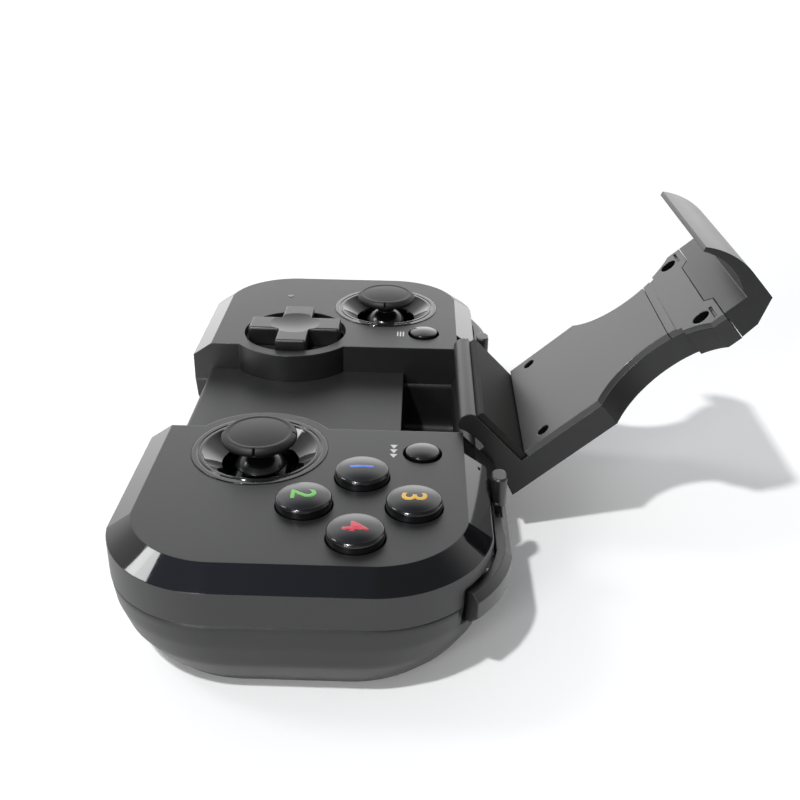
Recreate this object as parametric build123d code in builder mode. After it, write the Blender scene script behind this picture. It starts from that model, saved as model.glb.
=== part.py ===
from build123d import *
from math import acos, atan2, cos, degrees, radians, sin, sqrt
import os

# Mobile game controller: two grips joined by a lower centre, with a folding phone clamp.
# Millimetres. +X to the user's right, +Y forward, +Z up. The origin is the centre of the flat underside.

# Body plan
half_depth = 31.3
inner_x = 22.0
grip_w = 49.05
corner_r = 17.8
corner_crease = 0.3
corner_mid_angle = 50.0
deck_ahead = 0.36
deck_edge = 0.8

# Body heights
top_z = 27.0
foot_z = 23.8
chamfer_w = 4.7
deck_z = 20.0
seam_z = 17.0
break_z = 7.2
side_draft = 1.4
belly_draft = 4.6
belly_round = 4.0
mid_draft = 0.35
mid_round = 0.8
break_round = 2.2
low_z = 3.0
low_draft = 3.6
low_round = 3.2

# Walls
wall = 2.0
floor_t = 2.2
top_t = 2.0
slack = 0.1
press_gap = 0.02
running_gap = 0.05
overrun = 5.0

# Hinge of the clamp, as a pin across the forward end of the channel
hinge_ahead = 3.15
hinge_z = seam_z
barrel_r = 4.4
ear_r = 4.6
ear_w = 8.9
ear_drop = 0.7
pin_r = 1.25
pin_in = 5.0
bush_r = 3.6
fold_gap = 0.3

# Clamp arm, in the arm's own axes: along it from the inner corner, and out of its front face
open_angle = 41.5
corner_reach = 10.76
arm_gap = 1.4
arm_t = 7.2
cover_t = 1.5
arm_wall = 1.6
back_t = 1.8
seam_l = 17.3
step_l = 14.2
head_l = 5.55
tongue_l = 1.85
lip_room = 1.05
waist_gap = 2.0
head_gap = 0.7
cover_gap = 0.15
cover_drop = 0.25
front_start = 0.3
band_w = 2.0
end_slot_back = 1.55
end_slot_in = 3.6
end_slot_l = 5.5
end_slot_w = 0.6
arm_cavity_u = 4.0
end_wall = 1.35

# Jaw at the arm's lower end, and the web that joins it to the hinge barrel
jaw_height = 13.6
jaw_top = 15.25
jaw_t = 5.4
jaw_lean = 0.8
jaw_waist = 4.0
jaw_waist_v = 7.5
jaw_foot = 7.0
jaw_foot_v = 1.5
jaw_heel = 7.3
jaw_heel_v = 3.0
jaw_tail = 8.4
web_top = 3.2
pad_t = 1.5
pad_high = 13.2
pad_in = 0.7
pad_edge = 0.5

# Hook: a lip that curves over the far edge of the phone, on a tongue that slides inside the arm
lip_foot_v = 1.0
lip_bow = 0.8
lip_mid_v = 8.0
lip_reach = 1.5
lip_tip_v = 13.5
nose_u = 0.9
nose_v = 0.4
lip_t = 3.7
lip_back_v = 2.5
lip_back_in = 1.2
lip_back_mid_v = 9.0
heel_out = 0.1
heel_v = 3.5
sole_u = 5.2
sole_v = 0.6
hook_sole = 0.2
tongue_half = 10.6
tongue_flare = 1.6
slider_half = 7.5
slider_tail = 14.0
slider_grip = 3.0
slider_t = 2.6
slider_low = 4.9
slider_gap = 0.3

# Wound strip springs that draw the hook shut
roll_r = 1.7
roll_bore_r = 0.6
roll_w = 4.0
roll_x = 4.0
roll_u = 11.0
strip_t = 0.25

# Clamp screws
front_screw_in = 3.4
front_screw_u = 5.8
front_hole_r = 1.45
end_screw_in = 4.6
end_screw_back = 4.15
end_hole_r = 1.9
clamp_head_t = 0.6
clamp_sink = 0.8
clamp_shank_r = 0.6
clamp_shank_l = 4.2
clamp_boss_r = 2.4
drive_l = 1.3
drive_w = 0.3
drive_t = 0.3

# Pocket for the jaw
pocket_back = 13.5
pocket_floor_z = 4.3
pocket_ahead = 0.3
sweep_gap = 0.6

# Sticks
bulge_reach = 6.8
stick_back = 4.1
left_stick_in = 3.75
left_stick_back = 5.1
ring_r = 14.0
ring_w = 1.6
ring_proud = 0.15
ring_seat_t = 1.1
dish_lip = 0.8
dish_hole_r = 7.9
dish_depth = 3.8
cap_r = 7.8
cap_face_r = 6.2
cap_rim_z = 29.1
cap_rim_t = 1.5
cap_crown = 1.0
stem_r = 2.2
pivot_z = 20.5
dome_r = 6.2
dome_t = 0.8
dome_skirt = 3.2
notch_l = 2.0
notch_w = 0.5
bulge_rim = 2.3

# Gimbals: a square ring on trunnions, inside a bracket with two ears
gimbal_half = 5.0
gimbal_inner = 3.6
gimbal_h = 2.0
trunnion_r = 0.8
bracket_gap = 1.2
bracket_t = 1.4
bracket_floor_t = 1.2
bracket_below = 4.5
bracket_above = 1.2
bracket_slot = 5.7
bracket_flange = 2.0

# Direction pad
dpad_play = 1.45
dpad_arm = 7.8
dpad_top = 29.3
dpad_below = 22.9
dpad_rim = 3.1
dpad_dish_depth = 2.4
dpad_gap = 0.6
dpad_hollow = 0.7
dpad_hollow_r = 30.0
dpad_corner_r = 0.6
dpad_pivot_z = 21.0
dpad_gimbal_half = 3.2
dpad_gimbal_inner = 2.2
dpad_gimbal_h = 1.4
dpad_hub_r = 1.3
dpad_trunnion_r = 0.5
dpad_bracket_t = 1.0
dpad_bracket_floor = 0.6
dpad_bracket_above = 0.9
dpad_bracket_half = 2.6
dpad_sheet_in = 1.0
dpad_dome_at = 8.0
dpad_dome_r = 1.9
dpad_dome_h = 1.9

# Face buttons
cluster_in = 1.25
cluster_back = 20.5
cluster_r = 10.4
button_r = 5.35
button_gap = 0.2
button_proud = 2.0
button_crown = 0.55
button_shoulder = 0.7
shoulder_angle = 45.0
flange_w = 0.85
flange_t = 0.9
sheet_t = 0.8
sheet_r = 4.2
press_dome_r = 3.0
press_dome_h = 2.6
press_dome_draft = 0.8

# Small round buttons
small_back = 8.6
small_r = 3.5
small_gap = 0.6
small_proud = 0.7
small_crown = 0.4
small_shoulder = 0.3
small_flange_w = 1.2
small_stem_z = 23.9
switch_side = 4.2
switch_h = 2.6
plunger_r = 1.0
plunger_h = 1.4

# Boards and battery
board_z = 18.0
board_t = 1.2
board_gap = 0.5
battery_h = 4.8
battery_in = 5.0
battery_play = 1.38

# Bumpers
bumper_gap = 1.1
bumper_low = 19.9
bumper_high = 23.5
bumper_proud = 0.2
bumper_t = 2.3
bumper_edge = 0.4
bumper_recess = 4.0
bumper_pin_ahead = 2.7
bumper_pin_r = 0.6
bumper_pin_top = 24.9
bumper_barrel_r = 1.5
bumper_switch_in = 12.0
bumper_throw = 0.6

# Triggers
trigger_low = 13.0
trigger_high = 19.5
trigger_in = 5.7
trigger_out = 8.7
trigger_end_angle = 46.5
trigger_hug = 2.6
trigger_top_edge = 1.4
trigger_low_edge = 1.6
trigger_recess_in = 1.5
trigger_recess_low = 12.4
trigger_recess_high = 20.6
trigger_recess_angle = 43.2
post_out = 4.8
post_ahead = 7.15
post_x = 5.0
post_y = 3.1
post_top = 25.0
post_edge = 0.5
post_pin_r = 0.9
post_pin_top = 22.0
lug_low = 8.6
spring_r = 1.6
spring_depth = 1.6
window_off = 2.9
window_l = 4.4
window_w = 1.4
window_edge = 0.5
window_depth = 2.4
trigger_switch_in = 3.25
trigger_switch_z = 15.0
rib_w = 4.0
rib_h = 3.0
rib_reach = 2.8
trigger_throw = 1.1
side_plunger_r = 0.9
switch_depth = 2.5

# Case screws
user_screw_out = 8.75
user_screw_back = 12.3
inner_screw_in = 6.0
inner_screw_back = 22.3
corner_screw_out = 8.25
corner_screw_back = 9.3
boss_r = 3.0
screw_r = 1.0
screw_head_r = 1.9
screw_head_h = 1.6
screw_sink_r = 2.2
screw_sink = 5.0
screw_grip = 4.0
screw_play = 0.15
cross_l = 2.4
cross_w = 0.5
cross_t = 0.8

# Charging socket
socket_w = 8.9
socket_h = 3.2
socket_l = 7.2
socket_set_back = 1.4
socket_wall = 0.35
socket_depth = 5.6
socket_tongue_w = 6.4
socket_tongue_t = 0.7
socket_tongue_l = 4.6

# Indicator light
light_out = 3.25
light_back = 16.2
light_r = 0.9

corner_x = inner_x + grip_w - corner_r
corner_y = half_depth - corner_r + corner_crease
deck_user_y = half_depth + deck_ahead
hinge_y = half_depth + hinge_ahead
ear_outer_x = inner_x + ear_w
pin_half = inner_x + pin_in
arm_half = inner_x - arm_gap
slot_length = hinge_y - corner_reach + deck_user_y + lip_room
head_u = slot_length - head_l
step_u = slot_length - step_l
seam_u = slot_length - seam_l
tongue_seam_u = head_u - tongue_l
end_slot_x = arm_half - end_slot_in
end_slot_u = head_u - end_slot_back
front_screw_at = (arm_half - front_screw_in, front_screw_u)
end_screw_at = (arm_half - end_screw_in, head_u - end_screw_back)
pad_half = arm_half - pad_in
pad_low = slack - cover_t
pocket_user_y = half_depth - pocket_back
pocket_end_y = half_depth + pocket_ahead
bulge_r = ring_r + bulge_rim
ring_hole_r = ring_r - ring_w
dish_r = ring_hole_r - dish_lip
right_stick_at = (inner_x + bulge_r - bulge_reach, bulge_r + stick_back - half_depth)
left_stick_at = (left_stick_in - corner_x, half_depth - ring_r - left_stick_back)
dpad_at = (-right_stick_at[0], right_stick_at[1])
dpad_dish_r = bulge_r - dpad_rim
dpad_span = 2 * (dpad_dish_r - dpad_play)
dpad_sheet_r = dpad_dish_r - dpad_sheet_in
cluster_at = (corner_x - cluster_in, half_depth - cluster_back)
small_x = right_stick_at[0]
small_y = half_depth - small_back
battery_x = 2 * (inner_x - battery_in)
battery_y = pocket_user_y + deck_user_y - chamfer_w - 3 * wall - 2 * battery_play
bumper_in = ear_outer_x + bumper_gap
bumper_pin_y = half_depth + bumper_pin_ahead
bumper_switch_x = bumper_in + bumper_switch_in
post_at = (ear_outer_x + post_out, half_depth + post_ahead)
window_start = post_at[0] + window_off
trigger_switch_x = corner_x - trigger_switch_in
recess_out = trigger_out + overrun
case_screws_at = [
    (corner_x + user_screw_out, user_screw_back - half_depth),
    (inner_x + inner_screw_in, half_depth - inner_screw_back),
    (corner_x + corner_screw_out, half_depth - corner_screw_back),
]
light_at = (-corner_x - light_out, light_back - half_depth)
cos_open = cos(radians(open_angle))
sin_open = sin(radians(open_angle))
front_offset = deck_z + fold_gap - hinge_z
corner_at = (
    0,
    hinge_y + corner_reach * cos_open + front_offset * sin_open,
    hinge_z + corner_reach * sin_open - front_offset * cos_open,
)
arm_front = Plane(origin=corner_at, x_dir=(1, 0, 0), z_dir=(0, -sin_open, cos_open))
arm_side = Plane(origin=corner_at, x_dir=(0, cos_open, sin_open), z_dir=(1, 0, 0))
waist_u = hinge_y - corner_reach - right_stick_at[1]
side_plane = Plane.YZ
board_top = board_z + board_t
under_top = top_z - top_t
bumper_out = corner_x + sqrt(corner_r**2 - (half_depth - corner_y) ** 2)
bumper_hinge_x = bumper_in + bumper_barrel_r
front_y = half_depth + chamfer_w
trigger_start_x = post_at[0] + post_x / 2 + 2 * slack
main_board_z = break_z
pivot_at = (-corner_reach, front_offset)


def save(part, name):
    """Label a finished piece and write it as its own file."""
    part.label = name
    export_step(part, f"parts/{name}.step")


def grip_plan(side, grow, inner, rounder=0):
    """Plan of one grip: straight ends and side, two large corners that meet the ends at a crease."""
    r = corner_r + grow + rounder
    y = half_depth + grow
    middle_x = corner_x - rounder
    middle_y = corner_y - rounder
    crease_x = middle_x + sqrt(r**2 - (y - middle_y) ** 2)
    mid_x = middle_x + r * cos(radians(corner_mid_angle))
    mid_y = middle_y + r * sin(radians(corner_mid_angle))
    with BuildSketch() as plan:
        with BuildLine():
            Line((side * inner, -y), (side * crease_x, -y))
            ThreePointArc((side * crease_x, -y), (side * mid_x, -mid_y), (side * (middle_x + r), -middle_y))
            Line((side * (middle_x + r), -middle_y), (side * (middle_x + r), middle_y))
            ThreePointArc((side * (middle_x + r), middle_y), (side * mid_x, mid_y), (side * crease_x, y))
            Line((side * crease_x, y), (side * inner, y))
            Line((side * inner, y), (side * inner, -y))
        make_face()
    return plan.sketch


def hull_plan(grow, rounder=0):
    """Plan of the lower shell: both grips and the centre, with the centre's user end set back."""
    r = corner_r + grow + rounder
    y = half_depth + grow
    middle_x = corner_x - rounder
    middle_y = corner_y - rounder
    crease_x = middle_x + sqrt(r**2 - (y - middle_y) ** 2)
    mid_x = middle_x + r * cos(radians(corner_mid_angle))
    mid_y = middle_y + r * sin(radians(corner_mid_angle))
    notch_x = inner_x + chamfer_w - grow
    notch_y = deck_user_y - chamfer_w + grow
    with BuildSketch() as plan:
        with BuildLine():
            Line((0, -notch_y), (notch_x, -notch_y))
            Line((notch_x, -notch_y), (notch_x, -y))
            Line((notch_x, -y), (crease_x, -y))
            ThreePointArc((crease_x, -y), (mid_x, -mid_y), (middle_x + r, -middle_y))
            Line((middle_x + r, -middle_y), (middle_x + r, middle_y))
            ThreePointArc((middle_x + r, middle_y), (mid_x, mid_y), (crease_x, y))
            Line((crease_x, y), (0, y))
            mirror(about=Plane.YZ)
        make_face()
    return plan.sketch


def corner_band(side, inside, outside, start_x, end_angle):
    """Plan of a band that runs along the forward edge and closes in on the forward outer corner."""
    r_in = corner_r + inside
    r_out = corner_r + outside
    y_in = half_depth + inside
    y_out = half_depth + outside
    middle_x = corner_x - trigger_hug
    x_in = middle_x + sqrt(r_in**2 - (y_in - corner_y) ** 2)
    x_out = middle_x + sqrt(r_out**2 - (y_out - corner_y) ** 2)
    end = radians(end_angle)
    middle = (end + atan2(y_in - corner_y, x_in - middle_x)) / 2

    def at(r, angle):
        return (side * (middle_x + r * cos(angle)), corner_y + r * sin(angle))

    with BuildSketch() as plan:
        with BuildLine():
            Line((side * start_x, y_in), (side * x_in, y_in))
            ThreePointArc((side * x_in, y_in), at(r_in, middle), at(r_in, end))
            Line(at(r_in, end), at(r_out, end))
            ThreePointArc(at(r_out, end), at(r_out, middle), (side * x_out, y_out))
            Line((side * x_out, y_out), (side * start_x, y_out))
            Line((side * start_x, y_out), (side * start_x, y_in))
        make_face()
    return plan.sketch


def ear_profile():
    """Side profile of a hinge ear: a slope off the top face that runs onto the barrel round the pin."""
    back_y = half_depth - wall
    slope_z = top_z - ear_drop
    reach = sqrt((hinge_y - half_depth) ** 2 + (slope_z - hinge_z) ** 2)
    tangent = atan2(slope_z - hinge_z, half_depth - hinge_y) - acos(ear_r / reach)
    tangent_at = (hinge_y + ear_r * cos(tangent), hinge_z + ear_r * sin(tangent))
    with BuildSketch() as plan:
        with BuildLine():
            Polyline(
                (back_y, hinge_z - ear_r),
                (back_y, slope_z),
                (half_depth, slope_z),
                tangent_at,
                (hinge_y, hinge_z),
                (hinge_y, hinge_z - ear_r),
                close=True,
            )
        make_face()
        with Locations((hinge_y, hinge_z)):
            Circle(ear_r)
    return plan.sketch


def arm_plan(start, end, inset):
    """Plan of the clamp arm: straight, then waisted to clear the bulges, then wide again at the head."""
    half = arm_half - inset
    bulge_x = right_stick_at[0]
    waist_r = bulge_r + waist_gap + inset
    head_r = bulge_r + head_gap + inset
    step = step_u + inset
    enter = waist_u - sqrt(waist_r**2 - (bulge_x - half) ** 2)
    leave = waist_u + sqrt(head_r**2 - (bulge_x - half) ** 2)
    middle = (step + leave) / 2
    waist_x = bulge_x - sqrt(waist_r**2 - (step - waist_u) ** 2)
    head_x = bulge_x - sqrt(head_r**2 - (step - waist_u) ** 2)
    middle_x = bulge_x - sqrt(head_r**2 - (middle - waist_u) ** 2)
    with BuildSketch() as plan:
        with BuildLine():
            Line((0, start), (half, start))
            Line((half, start), (half, enter))
            ThreePointArc((half, enter), (bulge_x - waist_r, waist_u), (waist_x, step))
            Line((waist_x, step), (head_x, step))
            ThreePointArc((head_x, step), (middle_x, middle), (half, leave))
            Line((half, leave), (half, end))
            Line((half, end), (0, end))
            mirror(about=Plane.YZ)
        make_face()
    return plan.sketch


def tongue_plan(inset):
    """Plan of the hook's plate where it reaches back into the end cover, with slanted shoulders."""
    wide = tongue_half + tongue_flare - inset
    narrow = tongue_half - inset
    with BuildSketch() as plan:
        with BuildLine():
            Polyline(
                (-wide, head_u + inset),
                (-narrow, tongue_seam_u + inset),
                (narrow, tongue_seam_u + inset),
                (wide, head_u + inset),
                close=True,
            )
        make_face()
    return plan.sketch


def outer_edges(edges):
    """Edges of a trigger's upper or lower face that lie on its outer side."""
    middle = (trigger_in + trigger_out) / 2
    middle_x = corner_x - trigger_hug
    crease_x = middle_x + sqrt((corner_r + trigger_in) ** 2 - (half_depth + trigger_in - corner_y) ** 2)
    chosen = []
    for edge in edges:
        point = edge @ 0.5
        reach = sqrt((abs(point.X) - middle_x) ** 2 + (point.Y - corner_y) ** 2)
        on_front = abs(point.X) < crease_x and point.Y > half_depth + middle + slack
        on_corner = abs(point.X) > crease_x and reach > corner_r + middle + slack
        if on_front or on_corner:
            chosen.append(edge)
    return chosen


def top_cover(side):
    """One grip's top moulding, before its openings: chamfered, hollow, with bulge, bosses and half an ear."""
    bulge_at = (side * right_stick_at[0], right_stick_at[1])
    bosses = [(side * x, y) for x, y in case_screws_at]
    with BuildPart() as cover:
        with BuildSketch(Plane.XY.offset(seam_z)):
            add(grip_plan(side, chamfer_w, inner_x))
        extrude(amount=foot_z - seam_z)
        with BuildSketch(Plane.XY.offset(foot_z)):
            add(grip_plan(side, chamfer_w, inner_x))
        with BuildSketch(Plane.XY.offset(top_z)):
            add(grip_plan(side, 0, inner_x))
        loft(ruled=True)
        with BuildSketch(Plane.XY.offset(seam_z)):
            with Locations(bulge_at):
                Circle(bulge_r)
        extrude(amount=top_z - seam_z)

        # the forward inner corner gives way to the hinge ear
        with BuildSketch(Plane.XY.offset(seam_z)):
            with Locations((side * inner_x, half_depth)):
                edge = Align.MIN if side > 0 else Align.MAX
                Rectangle(ear_outer_x - inner_x, chamfer_w + overrun, align=(edge, Align.MIN))
        extrude(amount=top_z - seam_z + overrun, mode=Mode.SUBTRACT)
        with BuildSketch(side_plane.offset(side * inner_x)):
            add(ear_profile())
        extrude(amount=side * (ear_outer_x - inner_x))

        # hollow, bosses and wall windows
        with BuildSketch(Plane.XY.offset(seam_z)):
            add(grip_plan(side, -wall, inner_x + wall))
            with Locations(bulge_at):
                Circle(bulge_r - wall)
            with Locations(bosses):
                Circle(boss_r, mode=Mode.SUBTRACT)
        extrude(amount=top_z - top_t - seam_z, mode=Mode.SUBTRACT)
        with BuildSketch(Plane.XY.offset(seam_z)):
            with Locations(bosses):
                Circle(boss_r + slack)
        extrude(amount=board_top - seam_z, mode=Mode.SUBTRACT)
        with BuildSketch(Plane.XY.offset(seam_z)):
            with Locations(bosses):
                Circle(screw_r + press_gap)
        extrude(amount=board_top + screw_grip + screw_r - seam_z, mode=Mode.SUBTRACT)

        # recess for the bumper, with its pin hole and the window for its switch
        with BuildSketch(Plane.XY.offset(bumper_low - small_gap)):
            with Locations((side * (bumper_in + bumper_out) / 2, front_y - bumper_recess)):
                Rectangle(
                    bumper_out - bumper_in + 2 * small_gap,
                    bumper_recess + overrun,
                    align=(Align.CENTER, Align.MIN),
                )
        extrude(amount=bumper_high - bumper_low + small_gap + slack, mode=Mode.SUBTRACT)
        with BuildSketch(Plane.XY.offset(seam_z + slack)):
            with Locations((side * bumper_hinge_x, bumper_pin_y)):
                Circle(bumper_pin_r + press_gap)
        extrude(amount=bumper_pin_top + press_gap - seam_z - slack, mode=Mode.SUBTRACT)
        with BuildSketch(Plane.XZ.offset(-half_depth)):
            with Locations((side * bumper_switch_x, board_top + switch_side / 2)):
                Circle(side_plunger_r + slack)
        extrude(amount=overrun, both=True, mode=Mode.SUBTRACT)

        # recess behind the trigger
        with BuildSketch(Plane.XY.offset(seam_z)):
            add(corner_band(side, trigger_recess_in, recess_out, trigger_start_x, trigger_recess_angle))
        extrude(amount=trigger_recess_high - seam_z, mode=Mode.SUBTRACT)

        # hinge pin bore, then everything below the seam goes
        with BuildSketch(side_plane.offset(side * inner_x)):
            with Locations((hinge_y, hinge_z)):
                Circle(pin_r + press_gap)
        extrude(amount=side * (pin_half - inner_x + press_gap), mode=Mode.SUBTRACT)
        split(bisect_by=Plane.XY.offset(seam_z), keep=Keep.TOP)
    return cover


def crown_rise(r, crown):
    """Height of a crowned face half way out from its middle, above its rim."""
    dome = (r**2 + crown**2) / (2 * crown)
    return crown - dome + sqrt(dome**2 - r**2 / 4)


def stick_ring(at):
    """Glossy trim ring: a raised rim, a fine groove and a dish that falls to the stick's hole."""
    rim_z = top_z + ring_proud
    groove = ring_proud + slack
    with BuildPart() as ring:
        with BuildSketch(Plane.XZ.offset(-at[1])):
            with BuildLine():
                Polyline(
                    (at[0] + dish_hole_r, rim_z - dish_depth),
                    (at[0] + dish_hole_r, rim_z - dish_depth + dome_t),
                    (at[0] + dish_r, rim_z - groove),
                    (at[0] + dish_r + groove, rim_z),
                    (at[0] + ring_hole_r, rim_z),
                    (at[0] + ring_hole_r + groove, rim_z - groove),
                    (at[0] + ring_hole_r + 2 * groove, rim_z),
                    (at[0] + ring_r - slack, rim_z),
                    (at[0] + ring_r, rim_z - slack),
                    (at[0] + ring_r, top_z - ring_seat_t),
                    (at[0] + ring_hole_r - slack, top_z - ring_seat_t),
                    (at[0] + ring_hole_r - slack, top_z - top_t),
                    (at[0] + dish_hole_r + dome_t, rim_z - dish_depth),
                    close=True,
                )
            make_face()
        revolve(axis=Axis((at[0], at[1], 0), (0, 0, 1)))
    return ring


def stick_cap(at):
    """Thumb cap: a rim with four notches round a slightly crowned face, hollow for the stem."""
    face_z = cap_rim_z + cap_rim_t + cap_crown / 2
    with BuildPart() as cap:
        with BuildSketch(Plane.XZ.offset(-at[1])):
            with BuildLine():
                Line((at[0], cap_rim_z), (at[0] + cap_face_r, cap_rim_z))
                ThreePointArc(
                    (at[0] + cap_face_r, cap_rim_z),
                    (at[0] + cap_r, (cap_rim_z + face_z) / 2),
                    (at[0] + cap_face_r, face_z),
                )
                ThreePointArc(
                    (at[0] + cap_face_r, face_z),
                    (at[0] + cap_face_r / 2, face_z + crown_rise(cap_face_r, cap_crown / 2)),
                    (at[0], face_z + cap_crown / 2),
                )
                Line((at[0], face_z + cap_crown / 2), (at[0], cap_rim_z))
            make_face()
        revolve(axis=Axis((at[0], at[1], 0), (0, 0, 1)))
        with BuildSketch(Plane.XY.offset(face_z + cap_crown)):
            with Locations(at):
                with PolarLocations(cap_r, 4):
                    Rectangle(notch_l, notch_w)
        extrude(amount=-cap_rim_t - cap_crown, mode=Mode.SUBTRACT)
        with BuildSketch(Plane.XY.offset(cap_rim_z)):
            with Locations(at):
                Circle(stem_r + press_gap)
        extrude(amount=cap_rim_t, mode=Mode.SUBTRACT)
    return cap


def stick_stem(at):
    """Stem with its dust dome and the two trunnions that turn in the gimbal ring."""
    with BuildPart() as stem:
        with Locations((at[0], at[1], pivot_z)):
            Sphere(dome_r)
            Sphere(dome_r - dome_t, mode=Mode.SUBTRACT)
        with BuildSketch(Plane.XY.offset(pivot_z + dome_skirt)):
            with Locations(at):
                Circle(dome_r + overrun)
        extrude(amount=-dome_r - dome_skirt, mode=Mode.SUBTRACT)
        with BuildSketch(Plane.XY.offset(pivot_z - gimbal_h)):
            with Locations(at):
                Circle(stem_r)
        extrude(amount=cap_rim_z + cap_rim_t - pivot_z + gimbal_h)
        with BuildSketch(Plane.XZ.offset(-at[1])):
            with Locations((at[0], pivot_z)):
                Circle(trunnion_r)
        extrude(amount=(gimbal_half + gimbal_inner) / 2, both=True)
    return stem


def gimbal_ring(at, z, half, inner, height, pin, reach):
    """Square ring, bored along Y for the stem's trunnions, with its own trunnions along X."""
    with BuildPart() as ring:
        with BuildSketch(Plane.XY.offset(z - height / 2)):
            with Locations(at):
                Rectangle(2 * half, 2 * half)
                Rectangle(2 * inner, 2 * inner, mode=Mode.SUBTRACT)
        extrude(amount=height)
        with BuildSketch(Plane.XZ.offset(-at[1])):
            with Locations((at[0], z)):
                Circle(pin + running_gap)
        extrude(amount=half + overrun, both=True, mode=Mode.SUBTRACT)
        for way in (-1, 1):
            with BuildSketch(side_plane.offset(at[0] + way * half)):
                with Locations((at[1], z)):
                    Circle(pin)
            extrude(amount=way * reach)
    return ring


def gimbal_bracket(at, z, half, pin, thick, floor, below, above, depth):
    """U-shaped bracket with two bored ears that carry a gimbal ring."""
    ear_x = half + bracket_gap / 2
    with BuildPart() as bracket:
        with BuildSketch(Plane.XY.offset(z - below)):
            with Locations(at):
                Rectangle(2 * (ear_x + thick), 2 * depth)
        extrude(amount=floor)
        with BuildSketch(Plane.XY.offset(z - below)):
            for way in (-1, 1):
                with Locations((at[0] + way * (ear_x + thick / 2), at[1])):
                    Rectangle(thick, 4 * pin)
        extrude(amount=below + above)
        with BuildSketch(side_plane.offset(at[0])):
            with Locations((at[1], z)):
                Circle(pin + running_gap)
        extrude(amount=ear_x + thick + overrun, both=True, mode=Mode.SUBTRACT)
    return bracket


def round_button(at, r, rim, proud, crown, shoulder, below):
    """Push button: a crowned cap with a rounded shoulder, on a flange that is trapped under the cover."""
    face_r = r - shoulder
    bend = radians(shoulder_angle)
    with BuildPart() as button:
        with BuildSketch(Plane.XZ.offset(-at[1])):
            with BuildLine():
                Polyline(
                    (at[0], below),
                    (at[0] + r / 2, below),
                    (at[0] + r / 2, under_top - slack - flange_t),
                    (at[0] + r + rim, under_top - slack - flange_t),
                    (at[0] + r + rim, under_top - slack),
                    (at[0] + r, under_top - slack),
                    (at[0] + r, top_z + proud - shoulder),
                )
                ThreePointArc(
                    (at[0] + r, top_z + proud - shoulder),
                    (at[0] + face_r + shoulder * cos(bend), top_z + proud - shoulder + shoulder * sin(bend)),
                    (at[0] + face_r, top_z + proud),
                )
                ThreePointArc(
                    (at[0] + face_r, top_z + proud),
                    (at[0] + face_r / 2, top_z + proud + crown_rise(face_r, crown)),
                    (at[0], top_z + proud + crown),
                )
                Line((at[0], top_z + proud + crown), (at[0], below))
            make_face()
        revolve(axis=Axis((at[0], at[1], 0), (0, 0, 1)))
    return button


os.makedirs("parts", exist_ok=True)

# Right top cover
face_buttons_at = [
    (cluster_at[0] - cluster_r, cluster_at[1]),
    (cluster_at[0], cluster_at[1] - cluster_r),
    (cluster_at[0], cluster_at[1] + cluster_r),
    (cluster_at[0] + cluster_r, cluster_at[1]),
]
with BuildPart() as right_top_cover:
    add(top_cover(1).part)
    with Locations((*right_stick_at, top_z)):
        CounterBoreHole(ring_hole_r, ring_r + running_gap, ring_seat_t, top_t)
    with Locations([(x, y, top_z) for x, y in face_buttons_at]):
        Hole(button_r + button_gap, top_t)
    with Locations((small_x, small_y, top_z)):
        Hole(small_r + small_gap, top_t)
save(right_top_cover.part, "right_top_cover")

# Left top cover, with a cup for the direction pad
with BuildPart() as left_top_cover:
    add(top_cover(-1).part)
    with BuildSketch(Plane.XY.offset(top_z - dpad_dish_depth - top_t / 2)):
        with Locations(dpad_at):
            Circle(bulge_r - wall / 2)
    extrude(amount=dpad_dish_depth - top_t / 2)
    with BuildSketch(Plane.XY.offset(top_z - dpad_dish_depth)):
        with Locations(dpad_at):
            Circle(dpad_dish_r)
    extrude(amount=dpad_dish_depth, mode=Mode.SUBTRACT)
    with BuildSketch(Plane.XY.offset(top_z - dpad_dish_depth)):
        with Locations(dpad_at):
            Rectangle(dpad_span + 2 * dpad_gap, dpad_arm + 2 * dpad_gap)
            Rectangle(dpad_arm + 2 * dpad_gap, dpad_span + 2 * dpad_gap)
    extrude(amount=-overrun, mode=Mode.SUBTRACT)
    with Locations((*left_stick_at, top_z)):
        CounterBoreHole(ring_hole_r, ring_r + running_gap, ring_seat_t, top_t)
    with Locations((-small_x, small_y, top_z)):
        Hole(small_r + small_gap, top_t)
    with Locations((*light_at, top_z)):
        Hole(light_r + press_gap, top_t)
save(left_top_cover.part, "left_top_cover")

# Centre deck between the grips, notched round both bulges
with BuildPart() as centre_deck:
    with BuildSketch(Plane.XY.offset(seam_z)):
        with Locations((0, (pocket_user_y - deck_user_y) / 2)):
            Rectangle(2 * inner_x, pocket_user_y + deck_user_y)
        with Locations(right_stick_at, dpad_at):
            Circle(bulge_r + slack, mode=Mode.SUBTRACT)
    extrude(amount=deck_z - seam_z)
    with BuildSketch(Plane.XY.offset(seam_z)):
        with Locations((0, (pocket_user_y - deck_user_y) / 2)):
            Rectangle(2 * (inner_x - wall), pocket_user_y + deck_user_y - 2 * wall)
        with Locations(right_stick_at, dpad_at):
            Circle(bulge_r + wall, mode=Mode.SUBTRACT)
    extrude(amount=deck_z - top_t - seam_z, mode=Mode.SUBTRACT)
    fillet(centre_deck.edges().group_by(Axis.Z)[-1].group_by(Axis.Y)[0], deck_edge)
save(centre_deck.part, "centre_deck")

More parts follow.
